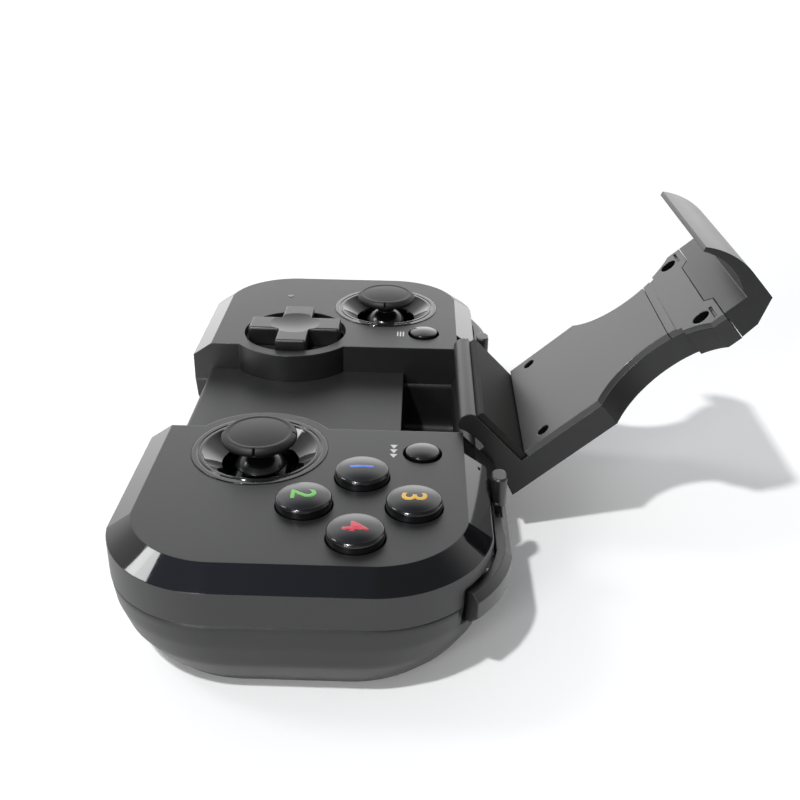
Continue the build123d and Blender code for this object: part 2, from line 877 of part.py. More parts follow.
# Lower shell: a lofted hull with cavities, screw posts and the pocket for the folded jaw
hull_levels = [
    (0, side_draft + belly_draft, belly_round),
    (low_z, low_draft, low_round),
    (break_z, side_draft, break_round),
    ((break_z + seam_z) / 2, mid_draft, mid_round),
    (seam_z, 0, 0),
]
all_screws_at = case_screws_at + [(-x, y) for x, y in case_screws_at]
with BuildPart() as lower_shell:
    for (low, low_draw, low_round_r), (high, high_draw, high_round_r) in zip(hull_levels[:-1], hull_levels[1:]):
        with BuildSketch(Plane.XY.offset(low)):
            add(hull_plan(chamfer_w - low_draw, low_round_r))
        with BuildSketch(Plane.XY.offset(high)):
            add(hull_plan(chamfer_w - high_draw, high_round_r))
        loft(ruled=True)
    for side in (-1, 1):
        # lower half of the hinge ear, and the cavity in two steps above the rounded belly
        with BuildSketch(side_plane.offset(side * inner_x)):
            with Locations((hinge_y, hinge_z)):
                Circle(ear_r)
        extrude(amount=side * (ear_outer_x - inner_x))
        for low, inner, rounder in (
            (floor_t, inner_x + chamfer_w + wall, belly_round),
            (break_z, inner_x + wall, 0),
        ):
            with BuildSketch(Plane.XY.offset(low)):
                add(grip_plan(side, -wall, inner, rounder))
                with Locations([(side * x, y) for x, y in case_screws_at]):
                    Circle(boss_r, mode=Mode.SUBTRACT)
            extrude(amount=seam_z - low, mode=Mode.SUBTRACT)

        # recess behind the trigger, the lug for its pin with a spring seat, and the switch's window
        with BuildSketch(Plane.XY.offset(trigger_recess_low)):
            add(corner_band(side, trigger_recess_in, recess_out, trigger_start_x, trigger_recess_angle))
        extrude(amount=seam_z - trigger_recess_low, mode=Mode.SUBTRACT)
        with BuildSketch(Plane.XY.offset(lug_low)):
            with Locations((side * post_at[0], half_depth)):
                Rectangle(post_x, post_at[1] - half_depth, align=(Align.CENTER, Align.MIN))
            with Locations((side * post_at[0], post_at[1])):
                SlotOverall(post_x, post_y)
        extrude(amount=trigger_low - slack - lug_low)
        with Locations((side * post_at[0], post_at[1], trigger_low - slack)):
            CounterBoreHole(post_pin_r + press_gap, spring_r, spring_depth, trigger_low - slack - lug_low)
        with BuildSketch(Plane.XZ.offset(-half_depth)):
            with Locations((side * trigger_switch_x, trigger_switch_z)):
                Circle(side_plunger_r + slack)
        extrude(amount=overrun, both=True, mode=Mode.SUBTRACT)
        with BuildSketch(side_plane.offset(side * inner_x)):
            with Locations((hinge_y, hinge_z)):
                Circle(pin_r + press_gap)
        extrude(amount=side * (pin_half - inner_x + press_gap), mode=Mode.SUBTRACT)

    # centre cavity in the same two steps, with a ledge for the main board
    for low, user_y, forward_y in (
        (floor_t, deck_user_y - chamfer_w - wall, pocket_user_y - 2 * wall),
        (break_z, deck_user_y - side_draft - wall, pocket_user_y - wall),
    ):
        with BuildSketch(Plane.XY.offset(low)):
            with Locations((0, -user_y)):
                Rectangle(2 * (inner_x - wall), forward_y + user_y, align=(Align.CENTER, Align.MIN))
        extrude(amount=seam_z - low, mode=Mode.SUBTRACT)

    # pocket for the jaw, and the trough that the hinge barrel turns in
    with BuildSketch(Plane.XY.offset(pocket_floor_z)):
        with Locations((0, pocket_user_y)):
            Rectangle(2 * inner_x, pocket_end_y - pocket_user_y, align=(Align.CENTER, Align.MIN))
    extrude(amount=seam_z - pocket_floor_z, mode=Mode.SUBTRACT)
    with BuildSketch(side_plane):
        with Locations((hinge_y, hinge_z)):
            Circle(barrel_r + sweep_gap)
    extrude(amount=inner_x, both=True, mode=Mode.SUBTRACT)

    # slot for the charging socket, and screw holes from below
    with BuildSketch(Plane.XZ.offset(deck_user_y + overrun)):
        with Locations((0, main_board_z + board_t + socket_h / 2)):
            SlotOverall(socket_w + 2 * slack, socket_h + 2 * slack)
    extrude(amount=-2 * overrun - wall, mode=Mode.SUBTRACT)
    split(bisect_by=Plane.XY.offset(seam_z), keep=Keep.BOTTOM)
    with BuildSketch(Plane.XY.offset(seam_z)):
        with Locations(all_screws_at):
            Circle(boss_r)
    extrude(amount=board_z - seam_z)
    with Locations([Location((x, y, 0), (180, 0, 0)) for x, y in all_screws_at]):
        CounterBoreHole(screw_r + screw_play, screw_sink_r, screw_sink, board_z)
save(lower_shell.part, "lower_shell")

# Stick assemblies: ring, cap, stem, gimbal and bracket
for name, stick_at in (("right_stick", right_stick_at), ("left_stick", left_stick_at)):
    save(stick_ring(stick_at).part, f"{name}_ring")
    save(stick_cap(stick_at).part, f"{name}_cap")
    save(stick_stem(stick_at).part, f"{name}_stem")
    reach = bracket_gap / 2 + bracket_t
    ring = gimbal_ring(stick_at, pivot_z, gimbal_half, gimbal_inner, gimbal_h, trunnion_r, reach)
    save(ring.part, f"{name}_gimbal")
    with BuildPart() as bracket:
        add(
            gimbal_bracket(
                stick_at,
                pivot_z,
                gimbal_half,
                trunnion_r,
                bracket_t,
                bracket_floor_t,
                bracket_below,
                bracket_above,
                bracket_slot + bracket_flange,
            ).part
        )
        with BuildSketch(Plane.XY.offset(pivot_z - bracket_below)):
            for way in (-1, 1):
                with Locations((stick_at[0], stick_at[1] + way * (bracket_slot + bracket_flange / 2))):
                    Rectangle(2 * (gimbal_half + reach), bracket_flange)
        extrude(amount=board_z - pivot_z + bracket_below)
    save(bracket.part, f"{name}_bracket")

# Direction pad: a cross with a shallow hollow, on a hub that rocks in a small gimbal
with BuildPart() as dpad:
    with BuildSketch(Plane.XY.offset(dpad_below)):
        with Locations(dpad_at):
            Rectangle(dpad_span, dpad_arm)
            Rectangle(dpad_arm, dpad_span)
    extrude(amount=dpad_top - dpad_below)
    fillet(dpad.edges().filter_by(Axis.Z), dpad_corner_r)
    fillet(dpad.edges().group_by(Axis.Z)[-1], dpad_hollow)
    with Locations((dpad_at[0], dpad_at[1], dpad_top - dpad_hollow + dpad_hollow_r)):
        Sphere(dpad_hollow_r, mode=Mode.SUBTRACT)
    with BuildSketch(Plane.XY.offset(dpad_pivot_z - dpad_gimbal_h / 2)):
        with Locations(dpad_at):
            Circle(dpad_hub_r)
    extrude(amount=dpad_below - dpad_pivot_z + dpad_gimbal_h)
    with BuildSketch(Plane.XZ.offset(-dpad_at[1])):
        with Locations((dpad_at[0], dpad_pivot_z)):
            Circle(dpad_trunnion_r)
    extrude(amount=(dpad_gimbal_half + dpad_gimbal_inner) / 2, both=True)
save(dpad.part, "dpad")

dpad_ring = gimbal_ring(
    dpad_at,
    dpad_pivot_z,
    dpad_gimbal_half,
    dpad_gimbal_inner,
    dpad_gimbal_h,
    dpad_trunnion_r,
    bracket_gap / 2 + dpad_bracket_t,
)
save(dpad_ring.part, "dpad_pivot")

dpad_bracket = gimbal_bracket(
    dpad_at,
    dpad_pivot_z,
    dpad_gimbal_half,
    dpad_trunnion_r,
    dpad_bracket_t,
    dpad_bracket_floor,
    dpad_pivot_z - board_top,
    dpad_bracket_above,
    dpad_bracket_half,
)
save(dpad_bracket.part, "dpad_bracket")

with BuildPart() as dpad_membrane:
    with BuildSketch(Plane.XY.offset(board_top)):
        with Locations(dpad_at):
            Circle(dpad_sheet_r)
            Rectangle(
                2 * (dpad_gimbal_half + bracket_gap + dpad_bracket_t),
                2 * (dpad_bracket_half + dpad_gap),
                mode=Mode.SUBTRACT,
            )
    extrude(amount=sheet_t)
    with BuildSketch(Plane.XY.offset(board_top)):
        with Locations(dpad_at):
            with PolarLocations(dpad_dome_at, 4):
                Circle(dpad_dome_r)
    extrude(amount=sheet_t + dpad_dome_h)
    fillet(dpad_membrane.edges().group_by(Axis.Z)[-1], sheet_t)
save(dpad_membrane.part, "dpad_membrane")

# Face buttons and their membrane
press_z = under_top - slack - flange_t - slack
for number, button_at in enumerate(face_buttons_at, start=1):
    button = round_button(
        button_at, button_r, flange_w, button_proud, button_crown, button_shoulder, press_z
    )
    save(button.part, f"face_button_{number}")

with BuildPart() as face_button_membrane:
    with BuildSketch(Plane.XY.offset(board_top)):
        with Locations(face_buttons_at):
            Circle(sheet_r)
        make_hull()
    extrude(amount=sheet_t)
    with BuildSketch(Plane.XY.offset(board_top)):
        with Locations(face_buttons_at):
            Circle(press_dome_r)
    extrude(amount=sheet_t + press_dome_h)
    chamfer(face_button_membrane.edges().group_by(Axis.Z)[-1], press_dome_draft)
save(face_button_membrane.part, "face_button_membrane")

# Small round buttons and their switches
for name, side in (("start_button", 1), ("select_button", -1)):
    small_at = (side * small_x, small_y)
    button = round_button(
        small_at, small_r, small_flange_w, small_proud, small_crown, small_shoulder, small_stem_z
    )
    save(button.part, name)

with BuildPart() as small_button_switches:
    with BuildSketch(Plane.XY.offset(board_top)):
        with Locations((small_x, small_y), (-small_x, small_y)):
            Rectangle(switch_side, switch_side)
    extrude(amount=switch_h)
    with BuildSketch(Plane.XY.offset(board_top)):
        with Locations((small_x, small_y), (-small_x, small_y)):
            Circle(plunger_r)
    extrude(amount=switch_h + plunger_h)
save(small_button_switches.part, "small_button_switches")

# Bumpers: flat bars, each on an upright pin at its inner end
for name, side in (("right_bumper", 1), ("left_bumper", -1)):
    with BuildPart() as bumper:
        with BuildSketch(Plane.XY.offset(bumper_low)):
            with Locations((side * (bumper_in + bumper_out) / 2, front_y + bumper_proud)):
                Rectangle(bumper_out - bumper_in, bumper_t, align=(Align.CENTER, Align.MAX))
        extrude(amount=bumper_high - bumper_low)
        chamfer(bumper.faces().sort_by(Axis.Y)[-1].edges(), bumper_edge)
        with BuildSketch(Plane.XY.offset(bumper_low)):
            with Locations((side * bumper_hinge_x, bumper_pin_y)):
                Circle(bumper_barrel_r)
        extrude(amount=bumper_high - bumper_low)
        with BuildSketch(Plane.XY.offset(bumper_low)):
            with Locations((side * bumper_hinge_x, bumper_pin_y)):
                Circle(bumper_pin_r + running_gap)
        extrude(amount=bumper_high - bumper_low, mode=Mode.SUBTRACT)
    save(bumper.part, name)

with BuildPart() as bumper_pins:
    with BuildSketch(Plane.XY.offset(seam_z + 2 * slack)):
        with Locations((bumper_hinge_x, bumper_pin_y), (-bumper_hinge_x, bumper_pin_y)):
            Circle(bumper_pin_r)
    extrude(amount=bumper_pin_top - seam_z - 2 * slack)
save(bumper_pins.part, "bumper_pins")

# Triggers: tall curved bands that wrap the forward corners, each on an upright post
for name, side in (("right_trigger", 1), ("left_trigger", -1)):
    with BuildPart() as post:
        with BuildSketch(Plane.XY.offset(trigger_low)):
            with Locations((side * post_at[0], post_at[1])):
                SlotOverall(post_x, post_y)
        extrude(amount=post_top - trigger_low)
        fillet(post.edges().group_by(Axis.Z)[-1], post_edge)
    with BuildPart() as trigger:
        with BuildSketch(Plane.XY.offset(trigger_low)):
            add(corner_band(side, trigger_in, trigger_out, post_at[0], trigger_end_angle))
        extrude(amount=trigger_high - trigger_low)
        chamfer(outer_edges(trigger.edges().group_by(Axis.Z)[-1]), trigger_top_edge)
        chamfer(outer_edges(trigger.edges().group_by(Axis.Z)[0]), trigger_low_edge)
        with BuildSketch(Plane.XY.offset(trigger_high)):
            with Locations((side * (window_start + window_l / 2), half_depth + trigger_in + window_edge)):
                Rectangle(window_l, window_w, align=(Align.CENTER, Align.MIN))
        extrude(amount=-window_depth, mode=Mode.SUBTRACT)
        with BuildSketch(Plane.XY.offset(trigger_switch_z - rib_h / 2)):
            with Locations((side * trigger_switch_x, half_depth + trigger_in)):
                Rectangle(rib_w, rib_reach, align=(Align.CENTER, Align.MAX))
        extrude(amount=rib_h)
        add(post.part)
        with BuildSketch(Plane.XY.offset(trigger_low)):
            with Locations((side * post_at[0], post_at[1])):
                Circle(post_pin_r + running_gap)
        extrude(amount=post_pin_top + running_gap - trigger_low, mode=Mode.SUBTRACT)
    save(trigger.part, name)

with BuildPart() as trigger_pins:
    with BuildSketch(Plane.XY.offset(lug_low)):
        with Locations(post_at, (-post_at[0], post_at[1])):
            Circle(post_pin_r)
    extrude(amount=post_pin_top - lug_low)
save(trigger_pins.part, "trigger_pins")

with BuildPart() as trigger_springs:
    with BuildSketch(Plane.XY.offset(trigger_low - spring_depth)):
        with Locations(post_at, (-post_at[0], post_at[1])):
            Circle(spring_r - slack)
            Circle(post_pin_r + slack, mode=Mode.SUBTRACT)
    extrude(amount=spring_depth - 2 * slack)
save(trigger_springs.part, "trigger_springs")

# Switches behind the bumpers and triggers, with their plungers through the wall
for name, switch_x, switch_z, tip_y in (
    ("bumper_switches", bumper_switch_x, board_top + switch_side / 2, front_y + bumper_proud - bumper_t - bumper_throw),
    ("trigger_switches", trigger_switch_x, trigger_switch_z, half_depth + trigger_in - rib_reach - trigger_throw),
):
    with BuildPart() as switches:
        with BuildSketch(Plane.XZ.offset(wall + slack - half_depth)):
            with Locations((switch_x, switch_z), (-switch_x, switch_z)):
                Rectangle(switch_side, switch_side)
        extrude(amount=switch_depth)
        with BuildSketch(Plane.XZ.offset(wall + slack - half_depth)):
            with Locations((switch_x, switch_z), (-switch_x, switch_z)):
                Circle(side_plunger_r)
        extrude(amount=half_depth - wall - slack - tip_y)
    save(switches.part, name)

# Boards: one in each grip, and the main board across the centre
for name, side, stick_at in (("right_board", 1, right_stick_at), ("left_board", -1, left_stick_at)):
    with BuildPart() as board:
        with BuildSketch(Plane.XY.offset(board_z)):
            add(grip_plan(side, -wall - board_gap, inner_x + wall + board_gap))
            with Locations((side * right_stick_at[0], right_stick_at[1])):
                Circle(bulge_r - wall - board_gap)
            with Locations([(side * x, y) for x, y in case_screws_at]):
                Circle(screw_r + screw_play, mode=Mode.SUBTRACT)
            with Locations(stick_at):
                Rectangle(
                    2 * (gimbal_half + bracket_gap / 2 + bracket_t + slack),
                    2 * bracket_slot,
                    mode=Mode.SUBTRACT,
                )
        extrude(amount=board_t)
    save(board.part, name)

board_user_y = deck_user_y - side_draft - wall - board_gap
board_forward_y = pocket_user_y - wall - board_gap
with BuildPart() as main_board:
    with BuildSketch(Plane.XY.offset(main_board_z)):
        with Locations((0, -board_user_y)):
            Rectangle(
                2 * (inner_x - wall - board_gap),
                board_forward_y + board_user_y,
                align=(Align.CENTER, Align.MIN),
            )
    extrude(amount=board_t)
save(main_board.part, "main_board")

with BuildPart() as battery:
    with BuildSketch(Plane.XY.offset(floor_t + slack)):
        with Locations((0, (pocket_user_y - 2 * wall - deck_user_y + chamfer_w + wall) / 2)):
            Rectangle(battery_x, battery_y)
    extrude(amount=battery_h)
    fillet(battery.edges().filter_by(Axis.Y), wall / 2)
save(battery.part, "battery")

# Charging socket: a folded shell round a thin contact tongue
socket_z = main_board_z + board_t + socket_h / 2
socket_plane = Plane.XZ.offset(deck_user_y - socket_set_back)
with BuildPart() as charging_socket:
    with BuildSketch(socket_plane):
        with Locations((0, socket_z)):
            SlotOverall(socket_w, socket_h)
    extrude(amount=-socket_l)
    with BuildSketch(socket_plane):
        with Locations((0, socket_z)):
            SlotOverall(socket_w - 2 * socket_wall, socket_h - 2 * socket_wall)
    extrude(amount=-socket_depth, mode=Mode.SUBTRACT)
    with BuildSketch(socket_plane.offset(-socket_l)):
        with Locations((0, socket_z)):
            Rectangle(socket_tongue_w, socket_tongue_t)
    extrude(amount=socket_l - socket_depth + socket_tongue_l)
save(charging_socket.part, "charging_socket")

with BuildPart() as indicator_light:
    with BuildSketch(Plane.XY.offset(board_top)):
        with Locations(light_at):
            Circle(light_r)
    extrude(amount=top_z - board_top + slack / 2)
save(indicator_light.part, "indicator_light")

# Case screws, driven up from below into the covers' bosses
with BuildPart() as case_screws:
    with BuildSketch(Plane.XY.offset(screw_sink - screw_head_h)):
        with Locations(all_screws_at):
            Circle(screw_head_r)
    extrude(amount=screw_head_h)
    with BuildSketch(Plane.XY.offset(screw_sink)):
        with Locations(all_screws_at):
            Circle(screw_r)
    extrude(amount=board_top + screw_grip - screw_sink)
    with BuildSketch(Plane.XY.offset(screw_sink - screw_head_h)):
        with Locations(all_screws_at):
            Rectangle(cross_l, cross_w)
            Rectangle(cross_w, cross_l)
    extrude(amount=cross_t, mode=Mode.SUBTRACT)
save(case_screws.part, "case_screws")

# Hinge pin across the channel, with a thrust bush at each end of the arm
with BuildPart() as hinge_pin:
    with BuildSketch(side_plane):
        with Locations((hinge_y, hinge_z)):
            Circle(pin_r)
    extrude(amount=pin_half, both=True)
save(hinge_pin.part, "hinge_pin")

with BuildPart() as hinge_bushes:
    for side in (-1, 1):
        with BuildSketch(side_plane.offset(side * (arm_half + slack))):
            with Locations((hinge_y, hinge_z)):
                Circle(bush_r)
                Circle(pin_r + press_gap, mode=Mode.SUBTRACT)
        extrude(amount=side * (inner_x - arm_half - 2 * slack))
save(hinge_bushes.part, "hinge_bushes")

# Clamp housing: the arm's back shell with the lower jaw and the hinge barrel
front_screws_at = [(side * front_screw_at[0], front_screw_at[1]) for side in (-1, 1)]
end_screws_at = [(side * end_screw_at[0], end_screw_at[1]) for side in (-1, 1)]
with BuildPart() as clamp_housing:
    with BuildSketch(arm_side):
        with BuildLine():
            Line((-pad_t, -cover_t), (-pad_t - jaw_lean, jaw_height))
            ThreePointArc(
                (-pad_t - jaw_lean, jaw_height),
                (-pad_t - jaw_t / 2, jaw_top),
                (-pad_t - jaw_t, jaw_height),
            )
            ThreePointArc(
                (-pad_t - jaw_t, jaw_height),
                (-pad_t - jaw_waist, jaw_waist_v),
                (-jaw_foot, jaw_foot_v),
            )
            Polyline(
                (-jaw_foot, jaw_foot_v),
                (-jaw_heel, -jaw_heel_v),
                (-jaw_tail, -arm_t),
                (head_u, -arm_t),
                (head_u, -cover_t),
                (-pad_t, -cover_t),
            )
        make_face()
        with Locations(pivot_at):
            Circle(barrel_r)
        with Locations((pivot_at[0], pivot_at[1] - barrel_r)):
            Rectangle(corner_reach - pad_t - jaw_waist / 2, barrel_r + web_top, align=(Align.MIN, Align.MIN))
    extrude(amount=arm_half, both=True)
    with BuildSketch(arm_front):
        add(arm_plan(-corner_reach - 2 * barrel_r, head_u, 0))
    extrude(amount=jaw_top + arm_t, both=True, mode=Mode.INTERSECT)
    with BuildSketch(arm_front.offset(back_t - arm_t)):
        add(arm_plan(arm_cavity_u, head_u - end_wall, arm_wall))
        with Locations(front_screws_at):
            Circle(clamp_boss_r, mode=Mode.SUBTRACT)
        with Locations(end_screws_at):
            Circle(clamp_boss_r, mode=Mode.SUBTRACT)
    extrude(amount=arm_t - back_t - cover_t, mode=Mode.SUBTRACT)
    with BuildSketch(arm_front.offset(-slider_low - slider_gap)):
        with Locations((0, head_u)):
            Rectangle(2 * (slider_half + slider_gap), 2 * end_wall + slider_gap)
    extrude(amount=slider_low + slider_gap, mode=Mode.SUBTRACT)
    with BuildSketch(arm_front.offset(-cover_t)):
        with Locations(front_screws_at + end_screws_at):
            Circle(clamp_shank_r + press_gap)
    extrude(amount=-clamp_shank_l, mode=Mode.SUBTRACT)
    with BuildSketch(arm_side):
        with Locations(pivot_at):
            Circle(pin_r + running_gap)
    extrude(amount=arm_half, both=True, mode=Mode.SUBTRACT)
save(clamp_housing.part, "clamp_housing")

# Soft pad on the jaw's inner face
jaw_slope = jaw_lean / (jaw_height + cover_t)
pad_low_u = -pad_t - jaw_slope * (pad_low + cover_t)
pad_high_u = -pad_t - jaw_slope * (pad_high + cover_t)
with BuildPart() as jaw_pad:
    with BuildSketch(arm_side):
        with BuildLine():
            Polyline(
                (pad_low_u, pad_low),
                (pad_high_u, pad_high),
                (pad_high_u + pad_t - pad_edge, pad_high),
                (pad_high_u + pad_t, pad_high - pad_edge),
                (pad_low_u + pad_t, pad_low),
                close=True,
            )
        make_face()
    extrude(amount=pad_half, both=True)
save(jaw_pad.part, "jaw_pad")

# Front cover and end cover close the arm
with BuildPart() as front_cover:
    with BuildSketch(arm_front.offset(-cover_t)):
        add(arm_plan(front_start, head_u, 0))
        with Locations((0, front_start)):
            Rectangle(2 * arm_half, seam_u - front_start, align=(Align.CENTER, Align.MIN), mode=Mode.INTERSECT)
        with Locations(front_screws_at):
            Circle(clamp_shank_r + press_gap, mode=Mode.SUBTRACT)
    extrude(amount=cover_t)
    with BuildSketch(arm_front):
        with Locations(front_screws_at):
            Circle(front_hole_r)
    extrude(amount=-clamp_sink, mode=Mode.SUBTRACT)
save(front_cover.part, "front_cover")

with BuildPart() as end_cover:
    with BuildSketch(arm_front.offset(-cover_t)):
        add(arm_plan(front_start, head_u, 0))
        with Locations((0, seam_u + cover_gap)):
            Rectangle(2 * arm_half, head_u - seam_u, align=(Align.CENTER, Align.MIN), mode=Mode.INTERSECT)
        add(tongue_plan(0), mode=Mode.SUBTRACT)
        with Locations(end_screws_at):
            Circle(clamp_shank_r + press_gap, mode=Mode.SUBTRACT)
    extrude(amount=cover_t)
    with BuildSketch(arm_front):
        with Locations((0, seam_u + band_w)):
            Rectangle(2 * inner_x, slot_length - seam_u, align=(Align.CENTER, Align.MIN))
    extrude(amount=-cover_drop, mode=Mode.SUBTRACT)
    with BuildSketch(arm_front):
        with Locations(end_screws_at):
            Circle(end_hole_r)
    extrude(amount=-clamp_sink, mode=Mode.SUBTRACT)
    with BuildSketch(arm_front):
        with Locations((end_slot_x, end_slot_u), (-end_slot_x, end_slot_u)):
            Rectangle(end_slot_l, end_slot_w)
    extrude(amount=-clamp_sink, mode=Mode.SUBTRACT)
save(end_cover.part, "end_cover")

# Hook: the curved lip on its block, the thin plate over the arm's end, and the socket for the slider
hook_u = head_u + cover_gap
lip_out_u = slot_length + lip_t
lip_tip_u = slot_length - lip_reach
with BuildPart() as hook:
    with BuildSketch(arm_side):
        with BuildLine():
            Polyline(
                (lip_tip_u, lip_tip_v),
                (lip_tip_u + nose_u, lip_tip_v + nose_v),
            )
            ThreePointArc(
                (lip_tip_u + nose_u, lip_tip_v + nose_v),
                (lip_out_u - lip_back_in, lip_back_mid_v),
                (lip_out_u, lip_back_v),
            )
            Polyline(
                (lip_out_u, lip_back_v),
                (lip_out_u + heel_out, -heel_v),
                (lip_out_u - sole_u, -arm_t + sole_v),
                (hook_u, -arm_t + hook_sole),
                (hook_u, -cover_drop),
                (slot_length, -cover_drop),
                (slot_length, lip_foot_v),
            )
            ThreePointArc(
                (slot_length, lip_foot_v),
                (slot_length + lip_bow, lip_mid_v),
                (lip_tip_u, lip_tip_v),
            )
        make_face()
    extrude(amount=arm_half, both=True)
    with BuildSketch(arm_front.offset(cover_gap - cover_t)):
        add(tongue_plan(cover_gap))
    extrude(amount=cover_t - cover_gap - cover_drop)
    with BuildSketch(arm_front.offset(-slider_low - press_gap)):
        with Locations((0, head_u)):
            Rectangle(
                2 * (slider_half + press_gap),
                cover_gap + slider_grip + press_gap,
                align=(Align.CENTER, Align.MIN),
            )
    extrude(amount=slider_t + 2 * press_gap, mode=Mode.SUBTRACT)
save(hook.part, "hook")

with BuildPart() as hook_slider:
    with BuildSketch(arm_front.offset(-slider_low)):
        with Locations((0, slider_tail)):
            Rectangle(2 * slider_half, hook_u + slider_grip - slider_tail, align=(Align.CENTER, Align.MIN))
    extrude(amount=slider_t)
save(hook_slider.part, "hook_slider")

# Wound strip springs: each a roll on the arm's floor, with its strip reaching towards the slider
roll_v = back_t - arm_t + roll_r + slack
with BuildPart() as hook_springs:
    for side in (-1, 1):
        with BuildSketch(arm_side.offset(side * roll_x - roll_w / 2)):
            with Locations((roll_u, roll_v)):
                Circle(roll_r)
            with Locations((roll_u, roll_v - roll_r)):
                Rectangle(slider_tail - slider_gap - roll_u, strip_t, align=(Align.MIN, Align.MIN))
            with Locations((roll_u, roll_v)):
                Circle(roll_bore_r, mode=Mode.SUBTRACT)
        extrude(amount=roll_w)
save(hook_springs.part, "hook_springs")

# Clamp screws: two through the front cover and two through the end cover
with BuildPart() as clamp_screws:
    for places, head_r, head_t in (
        (front_screws_at, front_hole_r - running_gap, clamp_head_t),
        (end_screws_at, end_hole_r - running_gap, clamp_head_t - cover_drop + slack),
    ):
        with BuildSketch(arm_front.offset(-clamp_sink)):
            with Locations(places):
                Circle(head_r)
        extrude(amount=head_t)
        with BuildSketch(arm_front.offset(-clamp_sink)):
            with Locations(places):
                Circle(clamp_shank_r)
        extrude(amount=clamp_sink - cover_t - clamp_shank_l + slack)
        with BuildSketch(arm_front.offset(head_t - clamp_sink)):
            with Locations(places):
                Rectangle(drive_l, drive_w)
                Rectangle(drive_w, drive_l)
        extrude(amount=-drive_t, mode=Mode.SUBTRACT)
save(clamp_screws.part, "clamp_screws")
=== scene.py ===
import bmesh
import bpy
from mathutils import Matrix, Vector
from mathutils.bvhtree import BVHTree


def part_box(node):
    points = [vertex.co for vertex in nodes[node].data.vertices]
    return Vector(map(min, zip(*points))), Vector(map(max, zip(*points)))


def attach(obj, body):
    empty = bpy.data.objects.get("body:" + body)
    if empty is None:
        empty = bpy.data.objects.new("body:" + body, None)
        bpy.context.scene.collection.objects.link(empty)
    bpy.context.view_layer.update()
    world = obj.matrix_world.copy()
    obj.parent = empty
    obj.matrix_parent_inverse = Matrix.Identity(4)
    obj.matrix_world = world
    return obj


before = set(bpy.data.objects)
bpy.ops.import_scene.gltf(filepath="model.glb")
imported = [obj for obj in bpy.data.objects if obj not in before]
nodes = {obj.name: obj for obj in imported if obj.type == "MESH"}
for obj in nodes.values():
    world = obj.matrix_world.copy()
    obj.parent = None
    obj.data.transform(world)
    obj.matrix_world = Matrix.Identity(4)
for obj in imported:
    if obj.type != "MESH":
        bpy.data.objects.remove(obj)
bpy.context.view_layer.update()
scene = bpy.context.scene

MM = 0.001


def link(obj):
    scene.collection.objects.link(obj)
    return obj


# Camera at the photograph's angle, solved from the object's edges

FOCAL_MM = 45.503
SENSOR_MM = 36.0
CLIP = (0.01, 30.0)
CAMERA_AT = Vector((0.21281465, 0.02062058, 0.13086338))
CAMERA_RIGHT = (-0.02379763, 0.99957712, 0.01671098)
CAMERA_UP = (-0.45063933, -0.02564683, 0.89233762)
CAMERA_BACK = (0.89238885, 0.01370490, 0.45105910)


def make_camera():
    data = bpy.data.cameras.new("camera")
    data.lens = FOCAL_MM
    data.sensor_width = SENSOR_MM
    data.clip_start, data.clip_end = CLIP
    camera = link(bpy.data.objects.new("camera", data))
    turn = Matrix((CAMERA_RIGHT, CAMERA_UP, CAMERA_BACK)).transposed().to_4x4()
    camera.matrix_world = Matrix.Translation(CAMERA_AT) @ turn
    scene.camera = camera


make_camera()


# Node helpers

MIX_SOCKETS = {"FLOAT": (2, 3, 0), "VECTOR": (4, 5, 1), "RGBA": (6, 7, 2)}


def feed(tree, socket, value):
    """Links an output to the socket, or sets the socket's own value."""
    if isinstance(value, bpy.types.NodeSocket):
        tree.links.new(value, socket)
    elif socket.type == "RGBA" and len(value) == 3:
        socket.default_value = value + (1.0,)
    else:
        socket.default_value = value


def put(tree, kind, inputs=None, **settings):
    """Adds a node with its settings, then feeds its inputs by name or number."""
    node = tree.nodes.new(kind)
    for name, value in settings.items():
        setattr(node, name, value)
    for key, value in (inputs or {}).items():
        feed(tree, node.inputs[key], value)
    return node


def calc(tree, operation, *values, clamp=False):
    inputs = dict(enumerate(values))
    return put(tree, "ShaderNodeMath", inputs, operation=operation, use_clamp=clamp).outputs[0]


def product(tree, first, *others):
    for other in others:
        first = calc(tree, "MULTIPLY", first, other)
    return first


def ramp(tree, value, low, high, out_low=0.0, out_high=1.0):
    """Smooth step from out_low to out_high as the value goes from low to high."""
    node = put(tree, "ShaderNodeMapRange", {
        "Value": value, "From Min": low, "From Max": high, "To Min": out_low, "To Max": out_high,
    }, interpolation_type="SMOOTHSTEP")
    return node.outputs["Result"]


def noise(tree, vector, scale, detail=2.0, roughness=0.5):
    inputs = {"Vector": vector, "Scale": scale, "Detail": detail, "Roughness": roughness}
    return put(tree, "ShaderNodeTexNoise", inputs).outputs["Fac"]


def blend(tree, kind, factor, first, second):
    a, b, result = MIX_SOCKETS[kind]
    node = put(tree, "ShaderNodeMix", {0: factor, a: first, b: second}, data_type=kind)
    return node.outputs[result]


def mixed(tree, factor, first, second):
    return blend(tree, "RGBA", factor, first, second)


def axes(tree, vector):
    return put(tree, "ShaderNodeSeparateXYZ", {0: vector}).outputs


def object_place(tree):
    return put(tree, "ShaderNodeTexCoord").outputs["Object"]


def surface_normal(tree):
    return put(tree, "ShaderNodeNewGeometry").outputs["Normal"]


# One shared group: moulded grain, worn rims and faint dust

